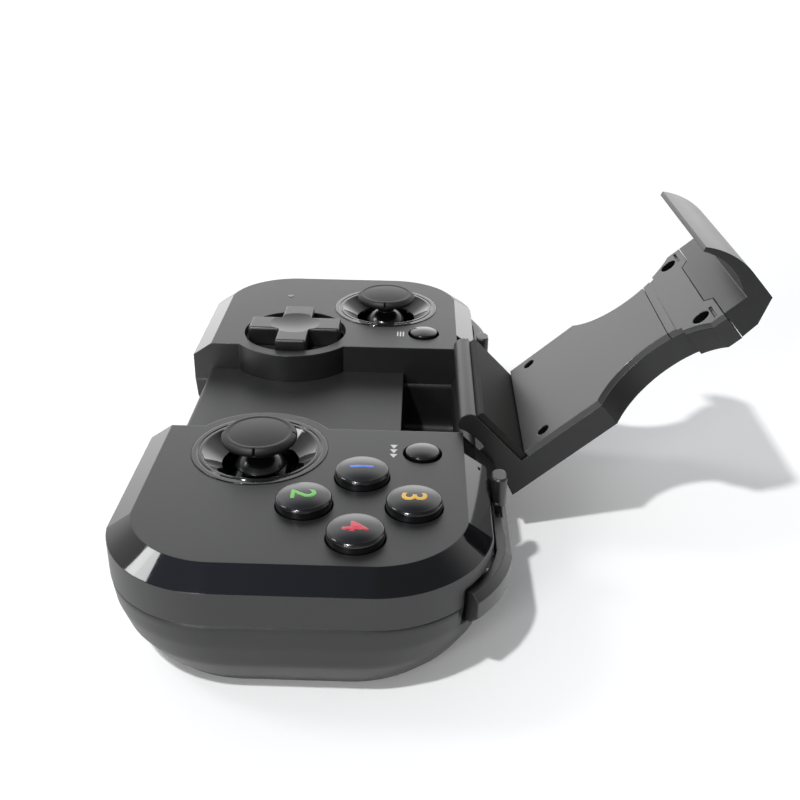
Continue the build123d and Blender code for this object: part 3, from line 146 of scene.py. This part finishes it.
GRAIN_INPUTS = (
    ("Dark", "NodeSocketColor", (0.02, 0.02, 0.02, 1)),
    ("Light", "NodeSocketColor", (0.03, 0.03, 0.03, 1)),
    ("Rough", "NodeSocketFloat", 0.45),
    ("Spread", "NodeSocketFloat", 0.05),
    ("Grain scale", "NodeSocketFloat", 3200.0),
    ("Grain depth", "NodeSocketFloat", 0.00001),
    ("Wear", "NodeSocketFloat", 0.5),
    ("Dust", "NodeSocketFloat", 0.2),
    ("Edge", "NodeSocketFloat", 0.00035),
)
GRAIN_OUTPUTS = (
    ("Color", "NodeSocketColor"),
    ("Roughness", "NodeSocketFloat"),
    ("Normal", "NodeSocketVector"),
)
WORN_COLOUR = (0.085, 0.085, 0.09)
DUST_COLOUR = (0.22, 0.22, 0.21)
CLOUD_SCALE, STREAK_SCALE, SPECK_SCALE = 45.0, 420.0, 260.0


def make_grain():
    tree = bpy.data.node_groups.new("moulded_grain", "ShaderNodeTree")
    for name, kind, value in GRAIN_INPUTS:
        tree.interface.new_socket(name, in_out="INPUT", socket_type=kind).default_value = value
    for name, kind in GRAIN_OUTPUTS:
        tree.interface.new_socket(name, in_out="OUTPUT", socket_type=kind)
    given = put(tree, "NodeGroupInput").outputs
    place = object_place(tree)

    # colour drifts between the two tones in clouds and finer streaks
    cloud = noise(tree, place, CLOUD_SCALE, 4.0, 0.6)
    streak = noise(tree, place, STREAK_SCALE, 3.0, 0.55)
    blotch = calc(tree, "ADD", product(tree, cloud, 0.6), product(tree, streak, 0.4))
    base = mixed(tree, ramp(tree, blotch, 0.32, 0.68), given["Dark"], given["Light"])

    # where the bevel shader turns the normal, the rim is worn pale in patches
    rounded = put(tree, "ShaderNodeBevel", {"Radius": given["Edge"]}, samples=8).outputs[0]
    turned = {0: rounded, 1: surface_normal(tree)}
    agree = put(tree, "ShaderNodeVectorMath", turned, operation="DOT_PRODUCT").outputs["Value"]
    patches = ramp(tree, streak, 0.35, 0.7, 0.25, 1.0)
    rim = product(tree, ramp(tree, agree, 0.995, 0.86), patches, given["Wear"])
    worn = mixed(tree, rim, base, WORN_COLOUR)

    # a few cells of a Voronoi pattern hold a speck of dust
    cells = {"Vector": place, "Scale": SPECK_SCALE, "Randomness": 1.0}
    specks = put(tree, "ShaderNodeTexVoronoi", cells, feature="F1").outputs
    chance = put(tree, "ShaderNodeSeparateColor", {0: specks["Color"]}).outputs[0]
    dot = ramp(tree, specks["Distance"], 0.035, 0.02)
    speck = product(tree, dot, ramp(tree, chance, 0.86, 0.9), given["Dust"])

    # roughness follows the clouds, dust is rougher and rubbed rims are smoother
    drift = product(tree, calc(tree, "SUBTRACT", blotch, 0.5), given["Spread"], 2.0)
    rough = calc(tree, "ADD", given["Rough"], drift)
    rough = calc(tree, "ADD", rough, product(tree, speck, 0.5))
    rough = calc(tree, "SUBTRACT", rough, product(tree, rim, 0.4))

    fine = noise(tree, place, given["Grain scale"])
    relief = {"Strength": 1.0, "Height": fine, "Distance": given["Grain depth"], "Normal": rounded}
    put(tree, "NodeGroupOutput", {
        "Color": mixed(tree, speck, worn, DUST_COLOUR),
        "Roughness": calc(tree, "MAXIMUM", rough, 0.05),
        "Normal": put(tree, "ShaderNodeBump", relief).outputs[0],
    })
    return tree


grain = make_grain()


# Materials

POLISHED_ROUGHNESS = 0.05
POLISHED_COLOUR = (0.005, 0.005, 0.006)
POLISHED_COAT = 0.2
POLISHED_EDGE = 0.0003
STEEP_TILT = (0.55, 0.7)
FLAT_TILT = (0.965, 0.94)
BEVEL_FOOT = (0.02376, 0.02384)
PAD_AT = (-0.0315, -0.0109)
PAD_BULGE_EDGE = (0.0134, 0.0136)
CROWN_LEAN = (0.0, 0.0, 0.19)
# patch size and heights of the painted bounce light from the floor on the hull's lowest band
FLOOR_BOUNCE_SCALE = 180.0
FLOOR_BOUNCE_LEVELS = (0.008, 0.002)


def grey(tone):
    return (tone, tone, tone)


def black(tone):
    """Near-black plastic colour with a trace of blue."""
    return (tone, tone, tone + 0.0005)


def plastic(name, dark, light, rough, spread=0.05, scale=3200.0, depth=0.000012, wear=0.4, dust=0.2,
            specular=0.75, coat=0.0, metallic=0.0, edge=0.00035):
    """Principled material fed by the grain group; lengths are in metres."""
    material = bpy.data.materials.new(name)
    material.use_nodes = True
    tree = material.node_tree
    group = put(tree, "ShaderNodeGroup", {
        "Dark": dark, "Light": light, "Rough": rough, "Spread": spread, "Grain scale": scale,
        "Grain depth": depth, "Wear": wear, "Dust": dust, "Edge": edge,
    }, node_tree=grain, name="grain")
    shader = tree.nodes["Principled BSDF"]
    for socket, value in (
        ("Metallic", metallic),
        ("Specular IOR Level", specular),
        ("Coat Weight", coat),
        ("Coat Roughness", 0.05),
        ("Base Color", group.outputs["Color"]),
        ("Roughness", group.outputs["Roughness"]),
        ("Normal", group.outputs["Normal"]),
    ):
        feed(tree, shader.inputs[socket], value)
    return material


def parts_of(material):
    tree = material.node_tree
    return tree, tree.nodes["Principled BSDF"].inputs, tree.nodes["grain"].outputs


def cover_material():
    """Matte grain on the top and sides, polished on the sloping bevel."""
    material = plastic("cover_shell", black(0.010), black(0.013), rough=0.42, wear=0.2,
                       specular=0.68)
    tree, shader, group = parts_of(material)
    place = axes(tree, object_place(tree))
    tilt = axes(tree, surface_normal(tree))["Z"]
    slope = product(tree, ramp(tree, tilt, *STEEP_TILT), ramp(tree, tilt, *FLAT_TILT))
    square_x = calc(tree, "POWER", calc(tree, "SUBTRACT", place["X"], PAD_AT[0]), 2.0)
    square_y = calc(tree, "POWER", calc(tree, "SUBTRACT", place["Y"], PAD_AT[1]), 2.0)
    from_pad = calc(tree, "SQRT", calc(tree, "ADD", square_x, square_y))
    above_foot = ramp(tree, place["Z"], *BEVEL_FOOT)
    polish = product(tree, slope, above_foot, ramp(tree, from_pad, *PAD_BULGE_EDGE))
    rough = blend(tree, "FLOAT", polish, group["Roughness"], POLISHED_ROUGHNESS)
    feed(tree, shader["Roughness"], rough)
    feed(tree, shader["Base Color"], mixed(tree, polish, group["Color"], POLISHED_COLOUR))
    feed(tree, shader["Coat Weight"], product(tree, polish, POLISHED_COAT))
    # the bevel is smooth, and leans up as a slightly crowned face does
    rounded = put(tree, "ShaderNodeBevel", {"Radius": POLISHED_EDGE}, samples=6).outputs[0]
    leant = {0: rounded, 1: CROWN_LEAN}
    leant = put(tree, "ShaderNodeVectorMath", leant, operation="ADD").outputs[0]
    crowned = put(tree, "ShaderNodeVectorMath", {0: leant}, operation="NORMALIZE").outputs[0]
    feed(tree, shader["Normal"], blend(tree, "VECTOR", polish, group["Normal"], crowned))
    return material


def shell_material():
    """Matte hull, painted paler in uneven patches close to the table as painted bounce light from
    the floor.
    """
    material = plastic("lower_shell_finish", black(0.010), black(0.014), rough=0.4, wear=0.1,
                       specular=0.6, edge=0.0025)
    tree, shader, group = parts_of(material)
    place = object_place(tree)
    # painted bounce light: the base colour turns paler towards the bottom edge, in uneven patches
    low = ramp(tree, axes(tree, place)["Z"], *FLOOR_BOUNCE_LEVELS)
    uneven = ramp(tree, noise(tree, place, FLOOR_BOUNCE_SCALE, 3.0, 0.6), 0.3, 0.7, 0.7, 1.0)
    painted_bounce = product(tree, low, uneven)
    feed(tree, shader["Base Color"], mixed(tree, painted_bounce, group["Color"], grey(0.06)))
    return material


FINISHES = (  # pieces, material, darker tone, lighter tone, and what differs from the defaults
    ("centre_deck", "deck_finish", black(0.016), black(0.022),
     dict(rough=0.42, wear=0.2, specular=0.6)),
    ("right_stick_ring left_stick_ring right_bumper left_bumper",
     "polished_trim", black(0.004), black(0.006),
     dict(rough=0.07, spread=0.02, scale=900.0, depth=0.000002, wear=0.15, dust=0.3, specular=0.6,
          coat=0.2)),
    ("face_button_1 face_button_2 face_button_3 face_button_4 start_button select_button",
     "button_cap", black(0.004), black(0.006),
     dict(rough=0.16, spread=0.04, scale=1500.0, depth=0.000003, wear=0.2)),
    ("dpad", "direction_pad", black(0.010), black(0.014),
     dict(rough=0.34, wear=0.35)),
    ("right_stick_cap left_stick_cap", "soft_rubber", grey(0.009), grey(0.014),
     dict(rough=0.5, spread=0.06, scale=2200.0, depth=0.00002, wear=0.3, dust=0.35, specular=0.5)),
    ("right_stick_stem left_stick_stem", "stick_stem", black(0.004), black(0.006),
     dict(rough=0.22, spread=0.04, scale=1200.0, depth=0.000003, wear=0.2, dust=0.1)),
    ("clamp_housing", "clamp_shell", black(0.009), black(0.011),
     dict(rough=0.38, specular=0.48)),
    ("right_trigger left_trigger", "lever_finish", black(0.014), black(0.02),
     dict(rough=0.34, wear=0.5)),
    ("front_cover end_cover", "clamp_cover", black(0.028), black(0.036),
     dict(rough=0.42, specular=0.85)),
    ("hook", "hook_finish", black(0.008), black(0.011),
     dict(rough=0.3, specular=0.35)),
    ("jaw_pad", "jaw_rubber", (0.013, 0.0125, 0.0115), (0.018, 0.017, 0.0155),
     dict(rough=0.62, spread=0.06, scale=1800.0, depth=0.00003, wear=0.3, dust=0.4, specular=0.2)),
    ("right_stick_bracket left_stick_bracket trigger_pins trigger_springs charging_socket "
     "hinge_pin hook_springs", "plain_steel", (0.5, 0.5, 0.51), (0.62, 0.62, 0.63),
     dict(rough=0.3, spread=0.1, scale=900.0, depth=0.000004, wear=0.3, dust=0.1, metallic=1.0)),
    # blackened steel, kept near-black with no specular as painted shade, so the holes around the
    # screws read dark
    ("case_screws clamp_screws bumper_pins", "blackened_steel_and_hole_shade", grey(0.002), grey(0.004),
     dict(rough=0.7, spread=0.08, scale=900.0, depth=0.000004, wear=0.05, dust=0.1, specular=0.0)),
    ("main_board right_board left_board",
     "solder_mask", (0.004, 0.008, 0.006), (0.007, 0.014, 0.01),
     dict(rough=0.28, scale=1500.0, depth=0.000006, wear=0.2)),
    ("battery", "cell_wrap", (0.3, 0.31, 0.33), (0.36, 0.37, 0.39),
     dict(rough=0.25, spread=0.06, scale=300.0, depth=0.00002, wear=0.1, dust=0.1, specular=0.5)),
    ("dpad_membrane face_button_membrane", "grey_silicone", (0.1, 0.1, 0.098), (0.14, 0.14, 0.136),
     dict(rough=0.6, scale=1200.0, depth=0.00001, wear=0.1, dust=0.3, specular=0.4)),
    ("right_stick_gimbal left_stick_gimbal dpad_pivot dpad_bracket small_button_switches "
     "bumper_switches trigger_switches hinge_bushes hook_slider",
     "inner_moulding", black(0.018), black(0.026),
     dict(rough=0.45, scale=2600.0, wear=0.3)),
    ("indicator_light", "light_guide", (0.05, 0.05, 0.052), (0.07, 0.07, 0.072),
     dict(rough=0.25, scale=800.0, depth=0.000004, wear=0.1, dust=0.1)),
)
dressed = set()


def dress(names, material):
    for name in names.split():
        mesh = nodes[name].data
        mesh.materials.clear()
        mesh.materials.append(material)
        dressed.add(name)


dress("right_top_cover left_top_cover", cover_material())
dress("lower_shell", shell_material())
for pieces, title, dark, light, options in FINISHES:
    dress(pieces, plastic(title, dark, light, **options))
assert dressed == set(nodes), sorted(set(nodes) ^ dressed)


# Printed numerals and marks, each a thin raised skin of paint

THIN_PAINT = 0.82
SKIN_LIFT = 0.00003
SKIN_SINK = 0.00004
LONGEST_EDGE = 0.0003
ABOVE_ALL = 0.2
NUMERAL_SIZE = 0.0066
NUMERAL_WEIGHT = 0.016
NUMERAL_COLOURS = {
    "1": (0.05, 0.16, 0.72),
    "2": (0.12, 0.5, 0.07),
    "3": (0.75, 0.42, 0.02),
    "4": (0.6, 0.02, 0.05),
}
MARK_COLOUR = (0.62, 0.62, 0.62)
MARK_COUNT = 3
ARROW = ((-0.75, -0.8), (0.85, 0), (-0.75, 0.8))
ARROW_PITCH = (1.9, 0.0)
BAR = ((-1.5, -0.18), (1.5, -0.18), (1.5, 0.18), (-1.5, 0.18))
BAR_PITCH = (0.0, 0.75)
START_AT = (0.0309, 0.01675)
SELECT_AT = (-0.0309, 0.0167)


def paint(name, colour):
    thin = tuple(THIN_PAINT * c for c in colour)
    return plastic(name, thin, colour, rough=0.35, scale=2400.0, depth=0.000004, wear=0.0, dust=0.0)


def top_of(node):
    """Returns a function that gives the height of the node's upper surface."""
    mesh = nodes[node].data
    corners = [v.co.copy() for v in mesh.vertices]
    finder = BVHTree.FromPolygons(corners, [tuple(p.vertices) for p in mesh.polygons])

    def height(x, y):
        hit = finder.ray_cast(Vector((x, y, ABOVE_ALL)), Vector((0, 0, -1)))[0]
        assert hit is not None, (node, x, y)
        return hit.z
    return height


def printed(name, outline, at, node, material, body):
    """Lays a flat outline on a node's top as a thin skin that rides with a body."""
    height = top_of(node)
    work = bmesh.new()
    work.from_mesh(outline)
    bmesh.ops.triangulate(work, faces=work.faces)
    for _ in range(2):
        long_edges = [e for e in work.edges if e.calc_length() > LONGEST_EDGE]
        bmesh.ops.subdivide_edges(work, edges=long_edges, cuts=2)
        bmesh.ops.triangulate(work, faces=work.faces)
    for vert in work.verts:
        x, y = at[0] + vert.co.x, at[1] + vert.co.y
        vert.co = Vector((x, y, height(x, y) + SKIN_LIFT))
    bmesh.ops.recalc_face_normals(work, faces=work.faces)
    if sum(f.normal.z for f in work.faces) < 0:
        bmesh.ops.reverse_faces(work, faces=work.faces)
    rim = [e for e in work.edges if e.is_boundary]
    made = bmesh.ops.extrude_edge_only(work, edges=rim)["geom"]
    for vert in (g for g in made if isinstance(g, bmesh.types.BMVert)):
        vert.co.z -= SKIN_LIFT + SKIN_SINK
    mesh = bpy.data.meshes.new(name)
    work.to_mesh(mesh)
    work.free()
    mesh.materials.append(material)
    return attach(link(bpy.data.objects.new(name, mesh)), body)


def plain_mesh(holder):
    """Takes the finished mesh of a temporary object, and removes the object."""
    bpy.context.view_layer.update()
    finished = holder.evaluated_get(bpy.context.evaluated_depsgraph_get())
    mesh = bpy.data.meshes.new_from_object(finished)
    holder.modifiers.clear()
    bpy.data.objects.remove(holder)
    return mesh


def numeral(text):
    """Flat outline of one plain numeral, centred on its own box."""
    curve = bpy.data.curves.new("glyph", "FONT")
    curve.body = text
    curve.size = NUMERAL_SIZE
    curve.align_x = "CENTER"
    curve.align_y = "CENTER"
    curve.resolution_u = 6
    curve.offset = NUMERAL_SIZE * NUMERAL_WEIGHT
    mesh = plain_mesh(link(bpy.data.objects.new("glyph", curve)))
    xs = [v.co.x for v in mesh.vertices]
    ys = [v.co.y for v in mesh.vertices]
    mesh.transform(Matrix.Translation((-(min(xs) + max(xs)) / 2, -(min(ys) + max(ys)) / 2, 0)))
    return mesh


def make_row():
    """Node tree that repeats one outline along a centred straight row."""
    tree = bpy.data.node_groups.new("mark_row", "GeometryNodeTree")
    face = tree.interface
    face.new_socket("Outline", in_out="INPUT", socket_type="NodeSocketGeometry")
    names = {}
    for name, kind in (("Count", "Int"), ("Pitch", "Vector"), ("Material", "Material")):
        socket = face.new_socket(name, in_out="INPUT", socket_type="NodeSocket" + kind)
        names[name] = socket.identifier
    face.new_socket("Row", in_out="OUTPUT", socket_type="NodeSocketGeometry")

    def step(kind, x, inputs, **settings):
        return put(tree, kind, inputs, location=(x, 0), **settings).outputs[0]

    given = put(tree, "NodeGroupInput", location=(-700, 0)).outputs
    # half the row's length backwards, so that the row is centred
    half = {0: given["Count"], 1: -0.5, 2: 0.5}
    steps_back = step("ShaderNodeMath", -500, half, operation="MULTIPLY_ADD")
    way_back = {0: given["Pitch"], "Scale": steps_back}
    first = step("ShaderNodeVectorMath", -300, way_back, operation="SCALE")
    spots = {"Count": given["Count"], "Start Location": first, "Offset": given["Pitch"]}
    line = step("GeometryNodeMeshLine", -100, spots, mode="OFFSET")
    placed = {"Points": line, "Instance": given["Outline"]}
    copies = step("GeometryNodeInstanceOnPoints", 100, placed)
    solid = step("GeometryNodeRealizeInstances", 300, {0: copies})
    covered = {"Geometry": solid, "Material": given["Material"]}
    painted = step("GeometryNodeSetMaterial", 500, covered)
    put(tree, "NodeGroupOutput", {0: painted}, location=(700, 0))
    return tree, names


def row(corners, pitch, material):
    """Outlines of a row of marks, from one mark's corners and the step in millimetres."""
    mesh = bpy.data.meshes.new("mark")
    mesh.from_pydata([(x * MM, y * MM, 0) for x, y in corners], [], [tuple(range(len(corners)))])
    holder = link(bpy.data.objects.new("mark", mesh))
    modifier = holder.modifiers.new("row", "NODES")
    modifier.node_group = row_tree
    modifier[row_inputs["Count"]] = MARK_COUNT
    modifier[row_inputs["Pitch"]] = (pitch[0] * MM, pitch[1] * MM, 0.0)
    modifier[row_inputs["Material"]] = material
    holder.update_tag()
    made = plain_mesh(holder)
    assert len(made.polygons) == MARK_COUNT
    return made


for number, colour in NUMERAL_COLOURS.items():
    node = f"face_button_{number}"
    low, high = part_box(node)
    middle = ((low.x + high.x) / 2, (low.y + high.y) / 2)
    ink = paint(f"print_{number}", colour)
    printed(f"numeral_{number}", numeral(number), middle, node, ink, f"button_{number}")

row_tree, row_inputs = make_row()
white = paint("print_white", MARK_COLOUR)
printed("start_mark", row(ARROW, ARROW_PITCH, white), START_AT, "right_top_cover", white, "housing")
printed("select_mark", row(BAR, BAR_PITCH, white), SELECT_AT, "left_top_cover", white, "housing")


# Plain pale floor, which the camera and polished faces see as white where no shadow falls

FLOOR_REACH = 6.0
FLOOR_DROP = 0.00005
SHADOW_REACH = (0.13, 0.4)
PAPER = ((0.84, 0.845, 0.845), (0.87, 0.87, 0.87))
PAPER_SCALE = 3.0
NEAR_GLOW = 0.07


def make_floor():
    mesh = bpy.data.meshes.new("floor")
    square = ((-1, -1), (1, -1), (1, 1), (-1, 1))
    mesh.from_pydata([(x * FLOOR_REACH, y * FLOOR_REACH, 0) for x, y in square], [], [(0, 1, 2, 3)])
    material = bpy.data.materials.new("pale_floor")
    material.use_nodes = True
    tree = material.node_tree
    place = object_place(tree)
    path = put(tree, "ShaderNodeLightPath").outputs
    seen = calc(tree, "ADD", path["Is Camera Ray"], path["Is Glossy Ray"])
    seen = calc(tree, "ADD", seen, path["Is Transmission Ray"], clamp=True)
    distance = put(tree, "ShaderNodeVectorMath", {0: place}, operation="LENGTH").outputs["Value"]
    far = ramp(tree, distance, *SHADOW_REACH)
    lit = mixed(tree, far, grey(1.0), grey(0.0))
    glow = mixed(tree, far, grey(NEAR_GLOW), grey(1.0))
    paper = mixed(tree, noise(tree, place, PAPER_SCALE, 3.0), *PAPER)
    shader = tree.nodes["Principled BSDF"].inputs
    feed(tree, shader["Base Color"], mixed(tree, seen, paper, lit))
    feed(tree, shader["Emission Color"], mixed(tree, seen, grey(0.0), glow))
    feed(tree, shader["Emission Strength"], 1.0)
    feed(tree, shader["Roughness"], 0.8)
    feed(tree, shader["Specular IOR Level"], 0.1)
    mesh.materials.append(material)
    floor = link(bpy.data.objects.new("floor", mesh))
    floor.location.z = -FLOOR_DROP


make_floor()


# Soft light: a high key, a window and a low fill at the user's side, and a pale surround

LAMP_TARGET = Vector((0.0, 0.03, 0.01))
LAMPS = (  # name, direction, distance, width, height or None for a disk, power
    ("key", (0.395, -0.314, 0.863), 1.4, 0.08, None, 11.0),
    ("window", (-0.12, -0.72, 0.68), 1.2, 0.22, 0.3, 1.9),
    ("fill", (0.8, -0.45, 0.36), 1.2, 0.3, None, 3.0),
)
USER_SIDE_SKY = (0.24, 0.265, 0.34)
FORWARD_SKY = (0.12, 0.125, 0.13)


def make_lamp(name, direction, distance, width, height, power):
    light = bpy.data.lights.new(name, "AREA")
    light.energy = power
    light.shape = "RECTANGLE" if height else "DISK"
    light.size = width
    if height:
        light.size_y = height
    lamp = link(bpy.data.objects.new(name, light))
    aim = Vector(direction).normalized()
    lamp.location = LAMP_TARGET + aim * distance
    lamp.rotation_euler = aim.to_track_quat("Z", "Y").to_euler()


def make_surround():
    """Walls brightest at the left and low down, a darker ceiling, and white for the camera."""
    world = bpy.data.worlds.new("surround")
    world.use_nodes = True
    scene.world = world
    tree = world.node_tree
    tree.nodes.clear()
    way = axes(tree, put(tree, "ShaderNodeTexCoord").outputs["Generated"])
    sky = mixed(tree, ramp(tree, way["Y"], -0.3, 0.12), USER_SIDE_SKY, FORWARD_SKY)
    low_left = product(tree, ramp(tree, way["Z"], 0.5, 0.25), ramp(tree, way["X"], -0.1, -0.6))
    around = product(
        tree,
        ramp(tree, way["X"], 0.25, -0.5, 0.35, 1.4),
        calc(tree, "ADD", product(tree, low_left, 0.6), 1.0),
        ramp(tree, way["Y"], -0.35, -0.75, 1.0, 0.45),
        ramp(tree, way["Y"], 0.3, 0.6, 1.0, 0.55),
    )
    wall = put(tree, "ShaderNodeCombineColor", {0: around, 1: around, 2: around}).outputs[0]
    shade = mixed(tree, ramp(tree, way["Z"], 0.55, 0.85), wall, sky)
    soft = put(tree, "ShaderNodeBackground", {"Color": shade, "Strength": 1.0}).outputs[0]
    clear = put(tree, "ShaderNodeBackground", {"Color": grey(1.0), "Strength": 1.0}).outputs[0]
    camera_ray = put(tree, "ShaderNodeLightPath").outputs["Is Camera Ray"]
    choose = put(tree, "ShaderNodeMixShader", {0: camera_ray, 1: soft, 2: clear}).outputs[0]
    put(tree, "ShaderNodeOutputWorld", {0: choose})


for lamp in LAMPS:
    make_lamp(*lamp)
make_surround()
scene.view_settings.view_transform = "Standard"
